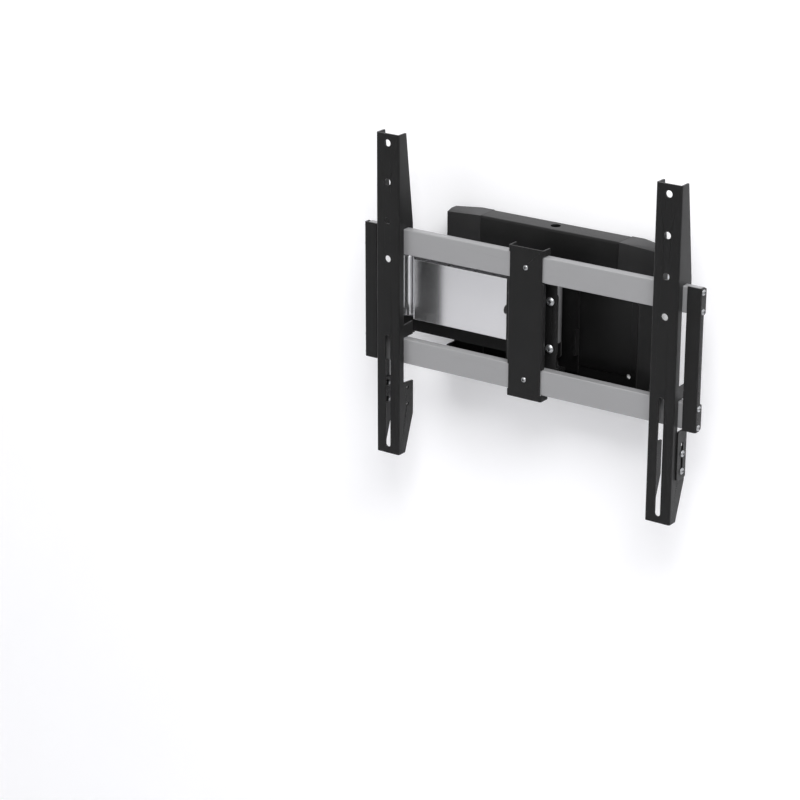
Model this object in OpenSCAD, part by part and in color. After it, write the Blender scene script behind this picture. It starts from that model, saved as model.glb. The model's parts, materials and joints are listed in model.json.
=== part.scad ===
// Full-motion wall mount for a flat screen, folded flat against its wall.
// Millimetres. X runs to the right, Y runs into the wall and Z runs up, so the room is on
// the -Y side. The origin is the centre of the wall plate's back face.

/* [Wall plate] */
// Width of the steel section between the two end caps
plate_w = 200; // [196:1:204]
// Height of the wall plate
plate_h = 219; // [217:1:224]
// Depth of the wall plate
plate_d = 32.5; // [32:0.5:34]
// Height of the open window between the front lips
window_h = 149; // [148:1:152]
// Length of each plastic end cap
cap_l = 50; // [46:1:54]
// Wall fixing holes, spacing from side to side
wall_hole_x = 204; // [200:1:206]
// Wall fixing holes, spacing from top to bottom
wall_hole_z = 142; // [138:1:142]
// Wall fixing holes, diameter
wall_hole_d = 6; // [6:0.5:7]

/* [Arms] */
// Distance between the two pivots of each arm
arm_reach = 213; // [208:1:214]
// Distance of the wall pivot from the wall
wall_pivot_y = 15.5; // [15.5:0.1:16]
// Distance of the head pivot from the wall, folded
head_pivot_y = 39.5; // [39:0.1:40]
// Height of the front arm
arm_h = 80; // [76:1:80]
// Thickness of the front arm's beam
arm_t = 16; // [15:0.5:16]
// Distance of the front arm's flat face from the wall
arm_face_y = 47.5; // [47:0.1:48]
// Height of each of the rear arm's two bars
bar_h = 19; // [17:1:19]
// Diameter of the three pivot pins
pin_d = 10; // [8:0.5:10]

/* [Tilt] */
// Distance of the tilt axis from the wall
tilt_y = 54.5; // [54:0.1:55]
// Height of the tilt axis above the middle of the mount
tilt_z = 3; // [2:0.5:4]
// Width across the ears of the swivel yoke
yoke_w = 34; // [34:1:35]
// Height of the tilt bracket
tilt_bracket_h = 80; // [76:1:80]
// Width of the carrier plate behind the rails
carrier_w = 72; // [71:1:74]
// Height of the carrier plate behind the rails
carrier_h = 172; // [166:1:180]

/* [Screen frame] */
// Length of the two rails
rail_l = 480; // [476:1:484]
// Height of each rail
rail_h = 33; // [32:1:33]
// Depth of each rail
rail_d = 12; // [11.5:0.5:12.5]
// Distance between the middles of the two rails
rail_pitch = 145; // [144:1:147]
// Distance of the rails' front face from the wall
rail_face_y = 80.5; // [80:0.1:81]
// Width of the centre bracket
centre_w = 50.6; // [48:0.2:52]
// Height of the centre bracket
centre_h = 195; // [190:1:200]

/* [Screen brackets] */
// Distance between the two screen brackets, which is the screen's hole pattern
bracket_pitch = 400; // [380:1:402]
// Height of each screen bracket
bracket_h = 424; // [420:1:430]
// Width of each screen bracket
bracket_w = 34.6; // [32:0.2:36]
// Distance of the screen brackets' front face from the wall
bracket_face_y = 92; // [91.6:0.1:94]
// Spacing of the screen holes
hole_pitch = 50; // [50]
// Diameter of the screen holes
hole_d = 9; // [6:0.5:9]
// Height of the latch's travel
latch_travel = 12; // [10:0.5:12]

/* [Hidden] */
$fn = 64;

// Colours
black = "#2a2a2c";
plastic = "#232325";
aluminium = "#c9cacc";
satin = "#a4a5a7";
zinc = "#b4b6ba";
dark_zinc = "#4a4a4e";

// Clearances
run = 0.06;     // radial, round a turning pin
fit = 0.05;     // radial, round a fixed pin or bush
slip = 0.4;     // between faces that slide past each other
past = 1;       // how far a cut runs past the face that it opens

// Wall plate
sheet = 2.5;
bend = 3;
cap_end = plate_w / 2 + cap_l;
cap_gap = 0.2;
cap_wall = 2.5;
cap_relief = 13;
cap_straight = 18;
cap_bevel = [10, 3];
cap_window_h = 140;
tongue_l = 10;
tongue_root = 6;
tongue_t = 2.5;
back_w = 226;
back_h = 190;
access_d = 13;

// Pivots, in plan
pin_r = pin_d / 2;
bush_wall = 2.45;
bush_r = pin_r + bush_wall;
W = [0, -wall_pivot_y];
H = [0, -head_pivot_y];
elbow_y = (wall_pivot_y + head_pivot_y) / 2;
E = [-sqrt(pow(arm_reach, 2) - pow(elbow_y - wall_pivot_y, 2)), -elbow_y];

// Rear arm
bar_in = arm_h / 2 + 1;
bar_out = bar_in + bar_h;
bar_wall = 2.5;
bar_face_y = 37;
wall_boss_r = 10.5;
elbow_boss_r = 12;
web_y = [-28.5, -26];

// Wall pivot stack, up from the middle: bar, bush flange, spacer, washer, lug
flange_t = 0.8;
spacer_z = [bar_out + 1, bar_out + 14.5];
washer_z = [spacer_z[1] + 0.1, spacer_z[1] + 1.6];
lug_z = [washer_z[1] + 0.1, washer_z[1] + 4.1];
lug_r = 12;
lug_web_t = 2;
stop_x = 30;
stop_y = -11;
stop_z = [-56, -22];

// Front arm
elbow_barrel_r = 14;
head_barrel_r = 10;
beam_left = -193;
beam_round = 4;
neck_x = -50;
neck_drop = 4.5;
chamber_wall = 2.5;
chamber_w = 36;
chambers = 3;

// Swivel yoke
yoke_in = bar_in;
yoke_lug_t = 3.5;
yoke_out = yoke_in + yoke_lug_t;
yoke_web_y = [-head_pivot_y - 13.5, -head_pivot_y - 11];
yoke_lug_r = 9;
ear_t = 3;
ear_r = 8.5;
ear_z = [-26, 32];
tilt_boss_x = 10;
tilt_boss_r = 7.5;
tilt_bolt_r = 4;
head_washer_z = [yoke_out + 0.3, yoke_out + 2.3];
head_washer_r = 12.5;

// Carrier plate, tilt bracket and centre bracket
rail_back_y = rail_face_y - rail_d;
rail_z = rail_pitch / 2;
notch = rail_h / 2 + 0.2;
tilt_sheet = 2.8;
carrier_y = [-rail_back_y + 0.1, -rail_back_y + 0.1 + tilt_sheet];
base_y = [carrier_y[1], carrier_y[1] + tilt_sheet];
cheek_in = yoke_w / 2 + 1;
cheek_out = cheek_in + tilt_sheet;
cheek_r = 8;
cheek_z = [-20, 24];
base_window_z = [-11, 17];
tilt_screw = [27.6, 30.5];
knob_l = 25;
knob_r = 6;
centre_sheet = 2.3;
centre_front_y = rail_face_y + centre_sheet;
centre_flange = 7;
centre_flange_end = 16;
centre_screw_r = 2.5;
nut_h = 4;

// Rails and end plates
rail_wall = 2;
port_r = 2.1;
port_dz = 12;
port_y = -rail_face_y + 3.5;
rail_edge = 1.6;
end_x = [224, rail_l / 2 + 2.5];
ear_back = 1;
end_fold = 2.4;
end_h = 180;
end_depth = 9;

// Screen brackets: depth profile of the side flanges
b_sheet = 2.5;
bx = bracket_pitch / 2;
b_half = bracket_w / 2;
b_shallow = -rail_face_y - slip;
hook_back = -61;
hook_z = rail_z + rail_h / 2 + slip;
hook_tip_z = hook_z - 15;
hook_front = -rail_back_y + 0.7;
tab_z = [-54.5, -38];
tab_rise = 1.2;
deep_back = -60;
deep_z = [-162, -115.5];
top_depth = 16.3;
foot_depth = 14.5;
slot_z = [-200, -54.5];
slot_w = 7.5;

// Latches
latch_t = 2;
latch_gap = 0.5;
latch_y = [-83, -62];
latch_z = [-156.5, -93];
finger_z = -82;
latch_screw_y = -72;
latch_screw_z = [-146.5, -124];
latch_screw_r = 2;
latch_slot_r = 2.3;

// ---- Helpers -------------------------------------------------------------------------

// An outline in X and Y, raised from z[0] to z[1]
module prism_z(z) {
    translate([0, 0, z[0]]) linear_extrude(z[1] - z[0]) children();
}

// An outline in Y and Z, drawn out from x[0] to x[1]
module prism_x(x) {
    translate([x[0], 0, 0]) rotate([90, 0, 90]) linear_extrude(x[1] - x[0]) children();
}

// An outline in X and Z, drawn out from y[0] to y[1]
module prism_y(y) {
    translate([0, y[1], 0]) rotate([90, 0, 0]) linear_extrude(y[1] - y[0]) children();
}

// An upright rod at a plan point
module rod_z(at, r, z) {
    translate([at[0], at[1], z[0]]) cylinder(r = r, h = z[1] - z[0]);
}

// An upright tube at a plan point
module tube_z(at, r, bore, z) {
    difference() {
        rod_z(at, r, z);
        rod_z(at, bore, [z[0] - past, z[1] + past]);
    }
}

// A flat rectangle between two corners
module area(a, b) {
    translate([min(a[0], b[0]), min(a[1], b[1])]) square([abs(b[0] - a[0]), abs(b[1] - a[1])]);
}

// A rectangle between two corners, with round corners
module round_area(a, b, r) {
    area([a[0] + r, a[1]], [b[0] - r, b[1]]);
    area([a[0], a[1] + r], [b[0], b[1] - r]);
    for (x = [a[0] + r, b[0] - r], y = [a[1] + r, b[1] - r]) translate([x, y]) circle(r);
}

// Plan of a folded sheet's outside between two corners, with round folds at the front
module fold_plan(a, b, r) {
    area([a[0], a[1] + r], b);
    area([a[0] + r, a[1]], [b[0] - r, b[1]]);
    for (x = [a[0] + r, b[0] - r]) translate([x, a[1] + r]) circle(r);
}

// The same thing above and below the middle
module above_and_below() {
    children();
    mirror([0, 0, 1]) children();
}

// The same thing on the right and on the left
module right_and_left() {
    children();
    mirror([1, 0, 0]) children();
}

// A right-hand sub-part turned into the left-hand one
module left() {
    mirror([1, 0, 0]) children();
}

// A domed screw head standing on Z = 0, with a hexagon socket
module domed_head(r, h, socket) {
    dome = (r * r + h * h * 0.64) / (1.6 * h);
    difference() {
        intersection() {
            cylinder(r = r, h = h);
            translate([0, 0, h - dome]) sphere(dome);
        }
        translate([0, 0, h * 0.35]) cylinder(r = socket, h = h, $fn = 6);
    }
}

// A screw with its head on Z = 0 and its shank below
module screw(shank_r, shank_l, head_r, head_h, socket) {
    domed_head(head_r, head_h, socket);
    translate([0, 0, -shank_l]) cylinder(r = shank_r, h = shank_l + head_h * 0.2);
}

// A hexagon nut between z[0] and z[1]
module nut_z(at, across, bore, z) {
    difference() {
        translate([at[0], at[1], z[0]]) cylinder(r = across / sqrt(3), h = z[1] - z[0], $fn = 6);
        rod_z(at, bore, [z[0] - past, z[1] + past]);
    }
}

// A hexagon nut on a screw along Y, between y[0] and y[1]
module nut_y(across, bore, y) {
    difference() {
        translate([0, y[1], 0]) rotate([90, 0, 0])
            cylinder(r = across / sqrt(3), h = y[1] - y[0], $fn = 6);
        prism_y([y[0] - past, y[1] + past]) circle(bore);
    }
}

// ---- Wall side -----------------------------------------------------------------------

// Cross-section of the folded wall plate, in Y and Z
module plate_section() {
    half = plate_h / 2;
    difference() {
        union() {
            round_area([-plate_d, -half], [0, half], bend);
            area([-bend, -half + bend], [0, half - bend]);
        }
        area([-plate_d + sheet, -half + sheet], [-sheet, half - sheet]);
        area([-plate_d - past, -window_h / 2], [-sheet, window_h / 2]);
    }
}

module wall_plate() {
    color(black) difference() {
        union() {
            prism_x([-plate_w / 2, plate_w / 2]) plate_section();
            prism_y([-sheet, 0]) area([-back_w / 2, -back_h / 2], [back_w / 2, back_h / 2]);
        }
        for (x = [-1, 1], z = [-1, 1])
            translate([x * wall_hole_x / 2, past, z * wall_hole_z / 2])
                rotate([90, 0, 0]) cylinder(d = wall_hole_d, h = sheet + 2 * past);
        rod_z(W, access_d / 2, [plate_h / 2 - sheet - past, plate_h / 2 + past]);
    }
}

// Plan of an end cap; its back edge leans off the wall
module cap_plan() {
    x0 = plate_w / 2 + cap_gap;
    polygon([
        [x0, 0],
        [x0 + cap_straight, 0],
        [cap_end, -cap_relief],
        [cap_end, -plate_d],
        [x0, -plate_d]
    ]);
}

// Plan of the hollow inside an end cap, open at the back where the wall plate reaches in
module cap_hollow_plan() {
    x0 = plate_w / 2 + cap_gap;
    x1 = back_w / 2 + 1;
    polygon([
        [x0 - past, past],
        [x1, past],
        [x1, -cap_wall],
        [x0 + cap_straight, -cap_wall],
        [cap_end - cap_wall, -cap_relief - cap_wall + 0.7],
        [cap_end - cap_wall, -plate_d + cap_wall],
        [x0 - past, -plate_d + cap_wall]
    ]);
}

// The sloping corner of an end cap, which grows towards its outer end
module cap_bevel_cut() {
    x0 = plate_w / 2;
    x1 = cap_end + past;
    y = -plate_d - 0.2;
    z = plate_h / 2 + 0.1;
    polyhedron(
        points = [[x0, y, z], [x1, y, z], [x1, y + cap_bevel[0], z], [x1, y, z - cap_bevel[1]]],
        faces = [[0, 2, 1], [0, 1, 3], [0, 3, 2], [1, 2, 3]]
    );
}

module right_end_cap() {
    half = plate_h / 2;
    inside = half - cap_wall - 0.1;
    tongue_x = [plate_w / 2 - tongue_l, plate_w / 2 + cap_gap + tongue_root];
    tongue_y = [-plate_d + tongue_root, -tongue_root];
    color(plastic) {
        difference() {
            prism_z([-half, half]) cap_plan();
            prism_z([-half + cap_wall, half - cap_wall]) cap_hollow_plan();
            prism_x([plate_w / 2 - past, cap_end - cap_wall])
                area([-plate_d - past, -window_h / 2], [-plate_d / 2, window_h / 2]);
            prism_x([cap_end - cap_wall - past, cap_end + past])
                area([-plate_d - past, -cap_window_h / 2],
                    [-cap_relief - cap_wall, cap_window_h / 2]);
            above_and_below() cap_bevel_cut();
        }
        // Tongues that plug into the steel section, and their roots
        above_and_below() {
            prism_x(tongue_x) area([tongue_y[0], inside - tongue_t], [tongue_y[1], inside]);
            prism_x([tongue_x[1] - tongue_root, tongue_x[1]])
                area([tongue_y[0], inside - tongue_t], [tongue_y[1], inside + 0.2]);
        }
    }
}

module left_end_cap() {
    left() right_end_cap();
}

// Welded inside the wall plate: two lugs for the pivot bolt, and a stop for the arm
module pivot_bracket() {
    color(black) difference() {
        union() {
            prism_y([-sheet - lug_web_t, -sheet]) area([-20, -lug_z[1]], [stop_x, lug_z[1]]);
            above_and_below() prism_z(lug_z) {
                translate(W) circle(lug_r);
                area([-lug_r, W[1]], [lug_r, -sheet]);
            }
            prism_x([stop_x - sheet, stop_x]) area([stop_y, stop_z[0]], [-sheet, stop_z[1]]);
        }
        rod_z(W, pin_r + fit, [-plate_h / 2, plate_h / 2]);
        above_and_below() for (z = [24, 60])
            translate([-14, 0, z]) rotate([90, 0, 0]) cylinder(r = 3, h = 10);
    }
}

module wall_pivot_bolt() {
    head_h = 8;
    color(dark_zinc) difference() {
        union() {
            rod_z(W, pin_r, [-lug_z[1] - 10, lug_z[1] + past]);
            rod_z(W, pin_r + 3, [lug_z[1] + 0.1, lug_z[1] + head_h]);
        }
        translate([W[0], W[1], lug_z[1] + 3]) cylinder(r = 4.6, h = head_h, $fn = 6);
    }
}

module wall_pivot_nut() {
    color(zinc) nut_z(W, 17, pin_r + fit, [-lug_z[1] - 8.2, -lug_z[1] - 0.1]);
}

module wall_pivot_spacers() {
    color(plastic) above_and_below() tube_z(W, pin_r + 1.4, pin_r + fit, spacer_z);
}

module wall_pivot_washers() {
    color(zinc) above_and_below() tube_z(W, pin_r + 4, pin_r + fit, washer_z);
}

// ---- Rear arm ------------------------------------------------------------------------

// Plan of one of the two bars
module bar_plan() {
    translate(W) circle(wall_boss_r);
    translate(E) circle(elbow_boss_r);
    polygon([
        [0, W[1] + wall_boss_r],
        [-cap_end, -cap_relief - cap_wall - 1.2],
        [E[0], E[1] + elbow_boss_r],
        [E[0], E[1] - elbow_boss_r],
        [E[0] + 18, -bar_face_y],
        [neck_x, -bar_face_y],
        [0, W[1] - wall_boss_r]
    ]);
}

// Plan of the hollow that opens at the back of each bar
module bar_hollow_plan() {
    polygon([
        [-26, 0],
        [E[0] + 17, 0],
        [E[0] + 17, -bar_face_y + bar_wall],
        [neck_x, -bar_face_y + bar_wall],
        [-26, W[1] - wall_boss_r - 2]
    ]);
}

module rear_arm() {
    color(black) difference() {
        union() {
            above_and_below() difference() {
                prism_z([bar_in, bar_out]) bar_plan();
                prism_z([bar_in + bar_wall, bar_out - bar_wall]) bar_hollow_plan();
            }
            prism_y(web_y) area([E[0] + 28, -bar_in - past], [-30, bar_in + past]);
        }
        rod_z(W, bush_r + fit, [-bar_out - past, bar_out + past]);
        rod_z(E, pin_r + fit, [-bar_out - past, bar_out + past]);
        // Lightening holes in the web
        for (i = [0:2])
            translate([-150 + i * 46, 0, 0]) rotate([90, 0, 0]) cylinder(r = 14, h = 60);
    }
}

module wall_pivot_sleeve() {
    color(satin) tube_z(W, head_barrel_r, bush_r, [-bar_in + 0.1, bar_in - 0.1]);
}

// Flanged bushes, one at each end of a bore that runs from -z to z
module bushes(at, z, l) {
    above_and_below() difference() {
        union() {
            rod_z(at, bush_r, [z - l, z]);
            rod_z(at, bush_r + 2, [z, z + flange_t]);
        }
        rod_z(at, pin_r + run, [z - l - past, z + flange_t + past]);
    }
}

module wall_pivot_bushes() {
    color(plastic) bushes(W, bar_out, bar_h - 0.5);
}

module elbow_pin() {
    head_h = 4;
    color(dark_zinc) {
        rod_z(E, pin_r, [-bar_out - 7, bar_out + 0.5]);
        translate([E[0], E[1], bar_out + 0.1]) domed_head(pin_r + 3.5, head_h, 3.5);
    }
}

module elbow_nut() {
    color(dark_zinc) nut_z(E, 16, pin_r + fit, [-bar_out - 6, -bar_out - 0.1]);
}

// ---- Front arm -----------------------------------------------------------------------

// Plan of the front arm's beam, with its ends inside the two barrels
module beam_plan() {
    back = -arm_face_y + arm_t;
    face = -arm_face_y;
    corner = [beam_left + beam_round, face + beam_round];
    polygon([
        [E[0] + 6, back],
        [-4, back],
        [-4, face + neck_drop],
        [neck_x + neck_drop, face + neck_drop],
        [neck_x, face],
        for (a = [-90 : -15 : -180]) corner + beam_round * [cos(a), sin(a)],
        [E[0] + 10, E[1] - 5]
    ]);
}

module front_arm() {
    z = [-arm_h / 2, arm_h / 2];
    cut = [z[0] - past, z[1] + past];
    y = [-arm_face_y + chamber_wall, -arm_face_y + arm_t - chamber_wall];
    color(aluminium) difference() {
        union() {
            prism_z(z) beam_plan();
            rod_z(E, elbow_barrel_r, z);
            rod_z(H, head_barrel_r, z);
        }
        rod_z(E, bush_r + fit, cut);
        rod_z(H, bush_r + fit, cut);
        for (i = [0 : chambers - 1]) {
            x = -178 + i * (chamber_w + 4);
            prism_z(cut) area([x, y[0]], [x + chamber_w, y[1]]);
        }
    }
}

module elbow_bushes() {
    color(plastic) bushes(E, arm_h / 2, 16);
}

module head_bushes() {
    color(plastic) bushes(H, arm_h / 2, 16);
}

// ---- Swivel head ---------------------------------------------------------------------

module head_pin() {
    color(dark_zinc) {
        rod_z(H, pin_r, [-head_washer_z[1] - 6.2, head_washer_z[1] + 0.7]);
        translate([H[0], H[1], head_washer_z[1] + 0.1]) domed_head(pin_r + 3, 3.6, 3.5);
    }
}

module head_washers() {
    color(zinc) above_and_below() tube_z(H, head_washer_r, pin_r + fit, head_washer_z);
}

module head_nut() {
    color(zinc) nut_z(H, 15, pin_r + fit, [-head_washer_z[1] - 5.3, -head_washer_z[1] - 0.1]);
}

// Side view of a plate that carries the tilt bolt, from a base line at y to the eye
module eye_outline(y, r, z) {
    translate([-tilt_y, tilt_z]) circle(r);
    polygon([[y, z[0]], [y, z[1]], [-tilt_y, tilt_z + r], [-tilt_y, tilt_z - r]]);
}

// A hole or a rod along the tilt axis
module tilt_bore(r, x) {
    prism_x(x) translate([-tilt_y, tilt_z]) circle(r);
}

module swivel_yoke() {
    half = yoke_w / 2;
    web = yoke_web_y[1];
    color(black) difference() {
        union() {
            prism_y(yoke_web_y) area([-half, -yoke_out], [half, yoke_out]);
            above_and_below() prism_z([yoke_in, yoke_out]) {
                translate(H) circle(yoke_lug_r);
                polygon([[-yoke_lug_r, H[1]], [yoke_lug_r, H[1]], [half, web], [-half, web]]);
            }
            right_and_left() {
                prism_x([half - ear_t, half]) eye_outline(web, ear_r, ear_z);
                tilt_bore(tilt_boss_r, [tilt_boss_x, half - ear_t + past]);
            }
        }
        rod_z(H, pin_r + run, [-yoke_out - past, yoke_out + past]);
        right_and_left() tilt_bore(tilt_bolt_r + fit, [tilt_boss_x - past, half + past]);
    }
}

// Screwed into an ear of the yoke, with the tilt bracket's cheek turning on its shank
module tilt_bolt(r, l, socket_depth) {
    head_x = cheek_out + 0.3;
    color(plastic) {
        tilt_bore(tilt_bolt_r, [tilt_boss_x, head_x + 0.5]);
        translate([head_x, -tilt_y, tilt_z]) rotate([0, 90, 0]) difference() {
            union() {
                cylinder(r = r, h = l - 0.7);
                translate([0, 0, l - 0.7]) cylinder(r1 = r, r2 = r - 1, h = 0.7);
            }
            translate([0, 0, l - socket_depth]) cylinder(r = 3, h = l, $fn = 6);
        }
    }
}

module right_tilt_bolt() {
    tilt_bolt(6, 2.2, 1.2);
}

// The left-hand bolt ends in a long knob that sets how hard the head tilts
module left_tilt_bolt() {
    left() tilt_bolt(knob_r, knob_l, 5);
}

// ---- Screen frame --------------------------------------------------------------------

module at_tilt_screws() {
    for (x = [-1, 1], z = [-1, 1]) translate([x * tilt_screw[0], 0, z * tilt_screw[1]]) children();
}

module at_centre_screws() {
    above_and_below() translate([0, 0, rail_z]) children();
}

// U-shaped: a base on the carrier plate, and two cheeks bent back from its window
module tilt_bracket() {
    w = carrier_w / 2;
    h = tilt_bracket_h / 2;
    color(black) difference() {
        union() {
            prism_y(base_y) difference() {
                round_area([-w, -h], [w, h], 4);
                area([-cheek_in, base_window_z[0]], [cheek_in, base_window_z[1]]);
            }
            right_and_left() prism_x([cheek_in, cheek_out])
                eye_outline(base_y[0] + 0.5, cheek_r, cheek_z);
        }
        at_tilt_screws() prism_y([base_y[0] - past, base_y[1] + past]) circle(3 + fit);
        right_and_left() tilt_bore(tilt_bolt_r + run, [cheek_in - past, cheek_out + past]);
    }
}

module tilt_washers() {
    color(plastic) right_and_left() difference() {
        tilt_bore(tilt_boss_r, [yoke_w / 2 + 0.15, cheek_in - 0.1]);
        tilt_bore(tilt_bolt_r + run, [yoke_w / 2 - past, cheek_in + past]);
    }
}

module tilt_bracket_screws() {
    color(zinc) at_tilt_screws() translate([0, carrier_y[0] - 0.05, 0]) rotate([90, 0, 0])
        screw(3, 2 * tilt_sheet + nut_h + 1, 5.7, 3.4, 2.6);
}

module tilt_bracket_nuts() {
    color(zinc) at_tilt_screws() nut_y(10, 3 + fit, [base_y[1] + 0.1, base_y[1] + 0.1 + nut_h]);
}

// Flat plate behind the rails, clamped to them by the centre bracket's screws
module carrier_plate() {
    w = carrier_w / 2;
    h = carrier_h / 2;
    through = [carrier_y[0] - past, carrier_y[1] + past];
    color(black) difference() {
        prism_y(carrier_y) round_area([-w, -h], [w, h], 4);
        at_tilt_screws() prism_y(through) circle(3 + fit);
        at_centre_screws() prism_y(through) circle(centre_screw_r + fit);
    }
}

// Folded strap in front of the rails; its flanges stop at each rail
module centre_bracket() {
    w = centre_w / 2;
    h = centre_h / 2;
    front = -centre_front_y;
    color(black) difference() {
        intersection() {
            union() {
                prism_y([front, -rail_face_y]) area([centre_sheet - w, -h], [w - centre_sheet, h]);
                right_and_left() prism_x([w - centre_sheet - 0.5, w]) {
                    area([front, notch - rail_z], [-rail_face_y, rail_z - notch]);
                    for (s = [-1, 1])
                        area([front, s * (rail_z + notch)], [-rail_face_y, s * h]);
                }
                right_and_left() prism_x([w - centre_sheet, w]) {
                    area([front, notch - rail_z], [front + centre_flange, rail_z - notch]);
                    for (s = [-1, 1])
                        area([front, s * (rail_z + notch)], [front + centre_flange_end, s * h]);
                }
            }
            prism_z([-h, h]) fold_plan([-w, front], [w, 0], centre_sheet);
        }
        at_centre_screws() prism_y([front - past, past - rail_face_y])
            circle(centre_screw_r + fit);
    }
}

module centre_bracket_screws() {
    l = centre_front_y + carrier_y[1] + nut_h + 1;
    color(zinc) at_centre_screws() translate([0, -centre_front_y - 0.05, 0])
        rotate([90, 0, 0]) screw(centre_screw_r, l, 3.4, 2.2, 1.5);
}

module centre_bracket_nuts() {
    color(zinc) at_centre_screws()
        nut_y(8, centre_screw_r + fit, [carrier_y[1] + 0.1, carrier_y[1] + 0.1 + nut_h]);
}

// Cross-section of a rail about its own middle, in Y and Z
module rail_section() {
    h = rail_h / 2;
    difference() {
        round_area([-rail_face_y, -h], [-rail_back_y, h], rail_edge);
        area([-rail_face_y + rail_wall, -port_dz + 4], [-rail_back_y - rail_wall, port_dz - 4]);
        for (s = [-1, 1]) translate([port_y, s * port_dz]) circle(port_r + fit);
    }
}

module rail() {
    color(satin) difference() {
        prism_x([-rail_l / 2, rail_l / 2]) rail_section();
        prism_y([-rail_face_y - past, -rail_back_y + past]) circle(centre_screw_r + fit);
    }
}

module upper_rail() {
    translate([0, 0, rail_z]) rail();
}

module lower_rail() {
    translate([0, 0, -rail_z]) rail();
}

// Angle that closes the rails' ends: a narrow face, and a side with an ear over each rail
module right_end_plate() {
    h = end_h / 2;
    ear = [rail_z - rail_h / 2, rail_z + rail_h / 2];
    side_back = -centre_front_y + end_depth;
    color(black) difference() {
        intersection() {
            union() {
                prism_y([-centre_front_y, -rail_face_y - 0.1]) area([end_x[0], -h], [end_x[1], h]);
                prism_x([rail_l / 2 + 0.1, end_x[1]]) {
                    area([-centre_front_y, -h], [side_back, h]);
                    for (s = [-1, 1])
                        round_area([-centre_front_y, s > 0 ? ear[0] : -ear[1]],
                            [-rail_back_y - ear_back, s > 0 ? ear[1] : -ear[0]], 3);
                }
            }
            prism_z([-h, h]) fold_plan([0, -centre_front_y], [end_x[1], 0], end_fold);
        }
        at_end_screws() cylinder(r = port_r + fit, h = 10, center = true);
    }
}

// The places of the four screws in a rail end, each pointing outwards
module at_end_screws() {
    for (s = [-1, 1], t = [-1, 1])
        translate([end_x[1], port_y, s * rail_z + t * port_dz]) rotate([0, 90, 0]) children();
}

module left_end_plate() {
    left() right_end_plate();
}

module right_end_screws() {
    color(zinc) at_end_screws() translate([0, 0, 0.05]) screw(port_r, 16, 3.8, 2.2, 1.5);
}

module left_end_screws() {
    left() right_end_screws();
}

// ---- Screen brackets -----------------------------------------------------------------

// Side view of a bracket's flanges: a hook over the upper rail, a tab above the lower rail
// and a deep foot for the latch
module flange_outline() {
    face = -bracket_face_y;
    h = bracket_h / 2;
    polygon([
        [face, h],
        [face + top_depth, h],
        [hook_back, hook_z + 3],
        [hook_back, hook_tip_z],
        [hook_front, hook_tip_z],
        [hook_front, hook_z],
        [b_shallow, hook_z],
        [b_shallow, tab_z[1]],
        [hook_back, tab_z[1] + tab_rise],
        [hook_back, tab_z[0]],
        [b_shallow, tab_z[0]],
        [b_shallow, deep_z[1]],
        [deep_back, deep_z[1] - 2],
        [deep_back, deep_z[0]],
        [face + foot_depth, -h],
        [face, -h]
    ]);
}

module right_tv_bracket() {
    face = [-bracket_face_y, -bracket_face_y + b_sheet];
    h = bracket_h / 2;
    color(black) difference() {
        intersection() {
            union() {
                prism_y(face) area([bx - b_half, -h], [bx + b_half, h]);
                for (x = [bx - b_half, bx + b_half - b_sheet])
                    prism_x([x, x + b_sheet]) flange_outline();
            }
            prism_z([-h, h]) fold_plan([bx - b_half, face[0]], [bx + b_half, 0], b_sheet);
        }
        prism_y([face[0] - past, face[1] + past]) translate([bx, 0]) {
            for (i = [1:4]) translate([0, i * hole_pitch]) circle(d = hole_d);
            for (z = slot_z) translate([0, z]) circle(d = slot_w);
            area([-slot_w / 2, slot_z[0]], [slot_w / 2, slot_z[1]]);
        }
        for (z = latch_screw_z)
            prism_x([bx - b_half - past, bx + b_half + past])
                translate([latch_screw_y, z]) circle(latch_screw_r + fit);
    }
}

module left_tv_bracket() {
    left() right_tv_bracket();
}

module right_latch_screws() {
    head_x = bx + b_half + latch_gap + latch_t + slip;
    color(zinc) for (z = latch_screw_z)
        translate([head_x, latch_screw_y, z]) rotate([0, 90, 0])
            screw(latch_screw_r, 9, 4.2, 2.4, 1.5);
}

module left_latch_screws() {
    left() right_latch_screws();
}

module right_latch_nuts() {
    x = bx + b_half - b_sheet - 0.1;
    color(zinc) for (z = latch_screw_z)
        translate([x, latch_screw_y, z]) rotate([0, -90, 0]) difference() {
            cylinder(r = 7 / sqrt(3), h = 3, $fn = 6);
            translate([0, 0, -past]) cylinder(r = latch_screw_r + fit, h = 3 + 2 * past);
        }
}

module left_latch_nuts() {
    left() right_latch_nuts();
}

// Slides on its two screws; its finger stands up behind the lower rail
module right_latch() {
    x = bx + b_half + latch_gap;
    finger_front = -rail_back_y + 0.6;
    slot_low = latch_screw_z[0] - 0.3;
    slot_high = latch_screw_z[1] + latch_travel + 0.3;
    color(black) prism_x([x, x + latch_t]) difference() {
        union() {
            round_area([latch_y[0], latch_z[0]], [latch_y[1], latch_z[1]], 2.5);
            area([finger_front, latch_z[1] - 5], [latch_y[1], finger_z]);
        }
        for (z = [slot_low, slot_high]) translate([latch_screw_y, z]) circle(latch_slot_r);
        area([latch_screw_y - latch_slot_r, slot_low], [latch_screw_y + latch_slot_r, slot_high]);
    }
}

module left_latch() {
    left() right_latch();
}

// ---- Drawing -------------------------------------------------------------------------

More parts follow.
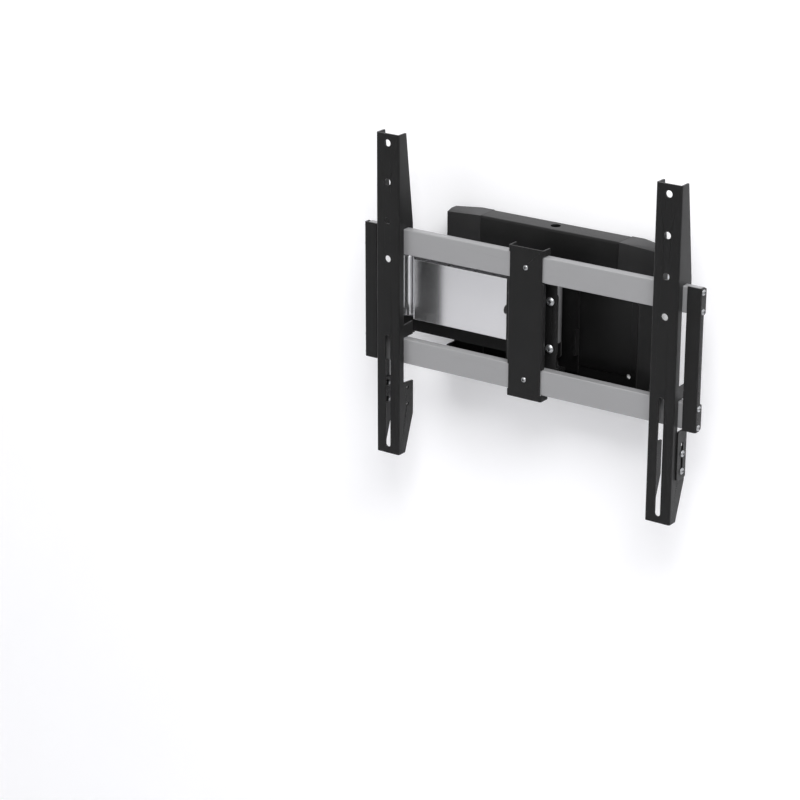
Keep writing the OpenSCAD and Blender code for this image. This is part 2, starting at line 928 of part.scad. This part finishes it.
wall_plate();
left_end_cap();
right_end_cap();
pivot_bracket();
wall_pivot_bolt();
wall_pivot_nut();
wall_pivot_spacers();
wall_pivot_washers();
rear_arm();
wall_pivot_sleeve();
wall_pivot_bushes();
elbow_pin();
elbow_nut();
front_arm();
elbow_bushes();
head_bushes();
head_pin();
head_washers();
head_nut();
swivel_yoke();
left_tilt_bolt();
right_tilt_bolt();
tilt_bracket();
tilt_washers();
tilt_bracket_screws();
tilt_bracket_nuts();
carrier_plate();
centre_bracket();
centre_bracket_screws();
centre_bracket_nuts();
upper_rail();
lower_rail();
left_end_plate();
right_end_plate();
left_end_screws();
right_end_screws();
left_tv_bracket();
left_latch_screws();
left_latch_nuts();
left_latch();
right_tv_bracket();
right_latch_screws();
right_latch_nuts();
right_latch();
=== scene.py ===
"""Looks of a full-motion wall mount for a flat screen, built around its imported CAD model.
Metres. X runs to the right, Y into the wall and Z up; the room is on the -Y side."""
import json
import math

import bpy
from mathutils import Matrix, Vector


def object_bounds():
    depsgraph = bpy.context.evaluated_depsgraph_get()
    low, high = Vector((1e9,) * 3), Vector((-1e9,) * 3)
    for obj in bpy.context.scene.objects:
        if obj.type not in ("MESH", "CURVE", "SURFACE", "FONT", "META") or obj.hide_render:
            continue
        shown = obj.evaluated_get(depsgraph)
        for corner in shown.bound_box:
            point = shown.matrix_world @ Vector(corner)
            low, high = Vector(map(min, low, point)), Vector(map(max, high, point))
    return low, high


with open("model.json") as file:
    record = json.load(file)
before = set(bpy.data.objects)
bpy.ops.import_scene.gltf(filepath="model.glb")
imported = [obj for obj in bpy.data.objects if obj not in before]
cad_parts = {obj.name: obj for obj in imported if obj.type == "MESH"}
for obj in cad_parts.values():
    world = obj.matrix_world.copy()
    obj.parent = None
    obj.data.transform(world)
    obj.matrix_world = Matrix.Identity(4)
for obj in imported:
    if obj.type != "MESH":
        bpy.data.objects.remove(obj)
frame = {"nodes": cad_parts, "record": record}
cad_low, cad_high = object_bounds()
nodes = frame["nodes"]

MM = 0.001

# ---- Camera --------------------------------------------------------------------------------

CAMERA_PLACE = (1.6204, -2.6322, 1.0180)
CAMERA_YAW = 35.34      # degrees to the left of straight at the wall
CAMERA_PITCH = 20.32    # degrees below level
CAMERA_LENS = 116.8     # millimetres
CAMERA_SENSOR = 36      # millimetres wide
CAMERA_RANGE = (0.05, 60)


def make_camera():
    """A camera to the right of the wall mount and above it, looking down at it."""
    camera = bpy.data.objects.new("camera", bpy.data.cameras.new("camera"))
    bpy.context.scene.collection.objects.link(camera)
    camera.data.lens = CAMERA_LENS
    camera.data.sensor_width = CAMERA_SENSOR
    camera.data.clip_start, camera.data.clip_end = CAMERA_RANGE
    camera.location = CAMERA_PLACE
    camera.rotation_euler = (math.radians(90 - CAMERA_PITCH), 0, math.radians(CAMERA_YAW))
    bpy.context.scene.camera = camera


# ---- Materials -----------------------------------------------------------------------------

NOISE_MIDDLE = (0.3, 0.7)       # the range that most of a noise pattern lies in
# painted shade: the ambient-occlusion range over which recesses are painted darker
HOLLOW_TO_OPEN = (0.45, 0.85)   # how open to the room a recess is, from its bottom to its rim

BLACK_SPECULAR = 0.30
BLACK_SHEEN = 0.17
BLACK_SHEEN_ROUGHNESS = 0.35

ALONG_X, ALONG_Z = 0, 2


class Nodes:
    """Short calls for building one material's node tree."""

    def __init__(self, name):
        self.material = bpy.data.materials.new(name)
        self.material.use_nodes = True
        self.tree = self.material.node_tree
        self.shader = self.tree.nodes["Principled BSDF"]

    def add(self, kind, **settings):
        """A node with its properties, or else its sockets, set by name."""
        node = self.tree.nodes.new(kind)
        for key, value in settings.items():
            if hasattr(node, key):
                setattr(node, key, value)
            else:
                node.inputs[key.replace("_", " ")].default_value = value
        return node

    def link(self, source, output, target, socket):
        self.tree.links.new(source.outputs[output], target.inputs[socket])

    def place(self, stretch=(1, 1, 1)):
        """Object coordinates in metres, squeezed along each axis."""
        coordinates = self.add("ShaderNodeTexCoord")
        mapping = self.add("ShaderNodeMapping")
        mapping.inputs["Scale"].default_value = stretch
        self.link(coordinates, "Object", mapping, "Vector")
        return mapping

    def noise(self, scale, detail, stretch=(1, 1, 1)):
        """A noise pattern with about this many lumps in a metre."""
        node = self.add("ShaderNodeTexNoise", Scale=scale, Detail=detail)
        self.link(self.place(stretch), "Vector", node, "Vector")
        return node

    def spread(self, source, low, high):
        """Maps the middle of a pattern onto the range from low to high."""
        node = self.add("ShaderNodeMapRange")
        node.inputs["From Min"].default_value, node.inputs["From Max"].default_value = NOISE_MIDDLE
        node.inputs["To Min"].default_value = low
        node.inputs["To Max"].default_value = high
        self.link(source, "Fac", node, "Value")
        return node

    def colour(self, source, dark, light):
        """A colour between dark and light, chosen by a pattern."""
        node = self.add("ShaderNodeMix", data_type="RGBA")
        node.inputs["A"].default_value = (*dark, 1)
        node.inputs["B"].default_value = (*light, 1)
        self.link(self.spread(source, 0, 1), "Result", node, "Factor")
        return node

    def painted_recess_shade(self, source, output, reach, shade):
        """The same colour with painted shade: darkened by ambient occlusion inside sockets and
        corners, where shade falls.
        """
        # painted shade: ambient occlusion multiplies the colour darker in hollows
        hollow = self.add("ShaderNodeAmbientOcclusion", Distance=reach)
        depth = self.add("ShaderNodeMapRange")
        depth.inputs["From Min"].default_value, depth.inputs["From Max"].default_value = HOLLOW_TO_OPEN
        depth.inputs["To Min"].default_value = shade
        self.link(hollow, "AO", depth, "Value")
        node = self.add("ShaderNodeMix", data_type="RGBA", blend_type="MULTIPLY")
        node.inputs["Factor"].default_value = 1
        self.link(source, output, node, "A")
        self.link(depth, "Result", node, "B")
        return node

    def bump(self, source, depth, strength, below=None):
        """A fine relief of the given depth, on top of the one below it."""
        node = self.add("ShaderNodeBump")
        node.inputs["Distance"].default_value = depth
        node.inputs["Strength"].default_value = strength
        self.link(source, "Fac", node, "Height")
        if below is not None:
            self.link(below, "Normal", node, "Normal")
        return node


def grey(value):
    """A neutral grey, very slightly cool."""
    return (value, value, value * 1.02)


def soft_black(shader):
    """The weak gloss and pale edge glow that all the black surfaces share."""
    shader.inputs["Specular IOR Level"].default_value = BLACK_SPECULAR
    shader.inputs["Sheen Weight"].default_value = BLACK_SHEEN
    shader.inputs["Sheen Roughness"].default_value = BLACK_SHEEN_ROUGHNESS


def powder_coat(name, base, roughness):
    """Fine-textured black powder coat: a soft orange peel with slightly uneven gloss."""
    m = Nodes(name)
    cloud = m.noise(22, 3)
    peel = m.noise(1400, 3)
    m.link(m.colour(cloud, grey(base * 0.8), grey(base * 1.2)), "Result", m.shader, "Base Color")
    m.link(m.spread(peel, roughness - 0.05, roughness + 0.06), "Result", m.shader, "Roughness")
    m.link(m.bump(peel, 0.12 * MM, 0.5), "Normal", m.shader, "Normal")
    soft_black(m.shader)
    return m.material


def moulded_plastic(name, base, roughness):
    """Black moulded plastic with a fine spark-eroded grain."""
    m = Nodes(name)
    cloud = m.noise(30, 2)
    grain = m.noise(2600, 2)
    m.link(m.colour(cloud, grey(base * 0.9), grey(base * 1.1)), "Result", m.shader, "Base Color")
    m.link(m.spread(grain, roughness - 0.03, roughness + 0.05), "Result", m.shader, "Roughness")
    m.link(m.bump(grain, 0.05 * MM, 0.4), "Normal", m.shader, "Normal")
    soft_black(m.shader)
    return m.material


def drawn_aluminium(name, base, metallic, roughness, along, depth):
    """Anodised extrusion with faint die lines along one axis."""
    clouding = 0.015
    stretch = [1, 1, 1]
    stretch[along] = 0.004
    m = Nodes(name)
    lines = m.noise(2600, 2, stretch)
    cloud = m.noise(9, 2)
    fine = m.noise(5200, 2)
    m.link(m.colour(cloud, grey(base * (1 - clouding)), grey(base * (1 + clouding))),
           "Result", m.shader, "Base Color")
    m.shader.inputs["Metallic"].default_value = metallic
    m.link(m.spread(lines, roughness - 0.02, roughness + 0.03), "Result", m.shader, "Roughness")
    below = m.bump(fine, 0.02 * MM, 0.3)
    m.link(m.bump(lines, depth, 0.35, below), "Normal", m.shader, "Normal")
    return m.material


def plated_steel(name, base, roughness, tint=(1, 1, 1)):
    """Turned and plated steel: slightly cloudy, with a soft grain and painted shade darkening its
    recesses.
    """
    m = Nodes(name)
    cloud = m.noise(160, 3)
    grain = m.noise(2400, 2)
    dark = tuple(base * 0.85 * t for t in tint)
    light = tuple(min(1.0, base * 1.12) * t for t in tint)
    # painted shade: the colour is darkened inside sockets and corners by ambient occlusion
    colour = m.painted_recess_shade(m.colour(cloud, dark, light), "Result", reach=3 * MM, shade=0.12)
    m.link(colour, "Result", m.shader, "Base Color")
    m.shader.inputs["Metallic"].default_value = 1.0
    m.link(m.spread(cloud, roughness - 0.05, roughness + 0.08), "Result", m.shader, "Roughness")
    m.link(m.bump(grain, 0.03 * MM, 0.35), "Normal", m.shader, "Normal")
    return m.material


MATERIALS = {
    "black_powder_coat": powder_coat("black_powder_coat", base=0.004, roughness=0.44),
    "black_plastic": moulded_plastic("black_plastic", base=0.017, roughness=0.42),
    "arm_aluminium": drawn_aluminium("arm_aluminium", base=0.93, metallic=0.92, roughness=0.19,
                                     along=ALONG_Z, depth=0.008 * MM),
    "rail_aluminium": drawn_aluminium("rail_aluminium", base=0.35, metallic=0.45, roughness=0.45,
                                      along=ALONG_X, depth=0.02 * MM),
    "zinc_steel": plated_steel("zinc_steel", base=0.42, roughness=0.36, tint=(0.98, 1.0, 1.02)),
    "dark_steel": plated_steel("dark_steel", base=0.08, roughness=0.38),
}

# ---- Edges ---------------------------------------------------------------------------------

SHARP = math.radians(30)    # the angle from which an edge is rounded and shaded sharp
WELD = 0.002 * MM           # corners closer than this are one corner
BEVEL = 0.3 * MM
BEVEL_SEGMENTS = 2


def fresh_shading():
    """Joins each part's split corners and shades it smooth between its sharp edges."""
    group = bpy.data.node_groups.new("fresh_shading", "GeometryNodeTree")
    group.interface.new_socket("Geometry", in_out="INPUT", socket_type="NodeSocketGeometry")
    group.interface.new_socket("Geometry", in_out="OUTPUT", socket_type="NodeSocketGeometry")
    add = group.nodes.new
    start, end = add("NodeGroupInput"), add("NodeGroupOutput")
    plain = add("GeometryNodeRemoveAttribute")
    plain.inputs["Name"].default_value = "custom_normal"
    weld = add("GeometryNodeMergeByDistance")
    weld.inputs["Distance"].default_value = WELD
    faces = add("GeometryNodeSetShadeSmooth")
    faces.domain = "FACE"
    faces.inputs["Shade Smooth"].default_value = True
    edges = add("GeometryNodeSetShadeSmooth")
    edges.domain = "EDGE"
    edges.inputs["Shade Smooth"].default_value = False
    angle = add("GeometryNodeInputMeshEdgeAngle")
    sharp = add("FunctionNodeCompare")
    sharp.data_type = "FLOAT"
    sharp.operation = "GREATER_THAN"
    sharp.inputs["B"].default_value = SHARP
    for source, output, target, socket in (
            (start, "Geometry", plain, "Geometry"), (plain, "Geometry", weld, "Geometry"),
            (weld, "Geometry", faces, "Geometry"), (faces, "Geometry", edges, "Geometry"),
            (angle, "Unsigned Angle", sharp, "A"), (sharp, "Result", edges, "Selection"),
            (edges, "Geometry", end, "Geometry")):
        group.links.new(source.outputs[output], target.inputs[socket])
    return group


SHADING = fresh_shading()


def dress(node):
    """Gives a CAD node its material and rounds its sharp edges."""
    piece = nodes[node]
    slot = next(s["material_slot"] for s in frame["record"]["subparts"] if s["node"] == node)
    piece.data.materials.clear()
    piece.data.materials.append(MATERIALS[slot])
    shading = piece.modifiers.new("shading", "NODES")
    shading.node_group = SHADING
    rounded = piece.modifiers.new("edges", "BEVEL")
    rounded.width = BEVEL
    rounded.segments = BEVEL_SEGMENTS
    rounded.limit_method = "ANGLE"
    rounded.angle_limit = SHARP
    rounded.harden_normals = True
    rounded.use_clamp_overlap = False


for name in nodes:
    dress(name)


# ---- Floor, wall and light -----------------------------------------------------------------

def flat_panel(name, corners, material):
    """A single face of the room around the object."""
    mesh = bpy.data.meshes.new(name)
    mesh.from_pydata(corners, [], [tuple(range(len(corners)))])
    panel = bpy.data.objects.new(name, mesh)
    bpy.context.scene.collection.objects.link(panel)
    panel.data.materials.append(material)
    return panel


def matt_paint(name, value, glow=0, one_sided=False):
    """Pale paint; a glow lifts its shadows, and one_sided paint is clear from behind."""
    m = Nodes(name)
    cloud = m.noise(3, 2)
    m.link(m.colour(cloud, grey(value * 0.99), grey(value)), "Result", m.shader, "Base Color")
    m.shader.inputs["Roughness"].default_value = 0.9
    m.shader.inputs["Specular IOR Level"].default_value = 0.1
    m.shader.inputs["Emission Color"].default_value = (1, 1, 1, 1)
    m.shader.inputs["Emission Strength"].default_value = glow
    if one_sided:
        face = m.add("ShaderNodeNewGeometry")
        clear = m.add("ShaderNodeBsdfTransparent")
        either = m.add("ShaderNodeMixShader")
        output = m.tree.nodes["Material Output"]
        m.link(face, "Backfacing", either, "Fac")
        m.tree.links.new(m.shader.outputs["BSDF"], either.inputs[1])
        m.tree.links.new(clear.outputs["BSDF"], either.inputs[2])
        m.link(either, "Shader", output, "Surface")
    return m.material


def soft_light(name, place, size, power):
    """A square area light that points at the origin, the middle of the mount's back."""
    lamp = bpy.data.lights.new(name, "AREA")
    lamp.shape = "RECTANGLE"
    lamp.size = size
    lamp.size_y = size
    lamp.energy = power
    light = bpy.data.objects.new(name, lamp)
    light.location = place
    light.rotation_euler = (-Vector(place)).to_track_quat("-Z", "Y").to_euler()
    bpy.context.scene.collection.objects.link(light)


FLOOR_Z = cad_low.z - 0.95    # the mount hangs at about a seated viewer's eye height
ROOM = 6.0
WALL_Y = 0.5 * MM             # just behind the wall plate's back, at Y = 0
WORLD_LIGHT = 0.45
flat_panel("floor", [(-ROOM, -ROOM, FLOOR_Z), (ROOM, -ROOM, FLOOR_Z), (ROOM, ROOM, FLOOR_Z),
                     (-ROOM, ROOM, FLOOR_Z)], matt_paint("floor_paint", 0.72))
wall = flat_panel("wall", [(-ROOM, WALL_Y, FLOOR_Z), (ROOM, WALL_Y, FLOOR_Z),
                           (ROOM, WALL_Y, ROOM), (-ROOM, WALL_Y, ROOM)],
                  matt_paint("wall_paint", 0.93, glow=0.12, one_sided=True))
wall.visible_shadow = False

world = bpy.data.worlds.new("studio")
world.use_nodes = True
world.node_tree.nodes["Background"].inputs["Color"].default_value = (1, 1, 1, 1)
world.node_tree.nodes["Background"].inputs["Strength"].default_value = WORLD_LIGHT
bpy.context.scene.world = world
bpy.context.scene.view_settings.view_transform = "Standard"

soft_light("key", place=(1.3, -1.6, 2.6), size=1.8, power=120)
soft_light("fill", place=(-2.2, -2.4, 0.8), size=2.0, power=11)

make_camera()
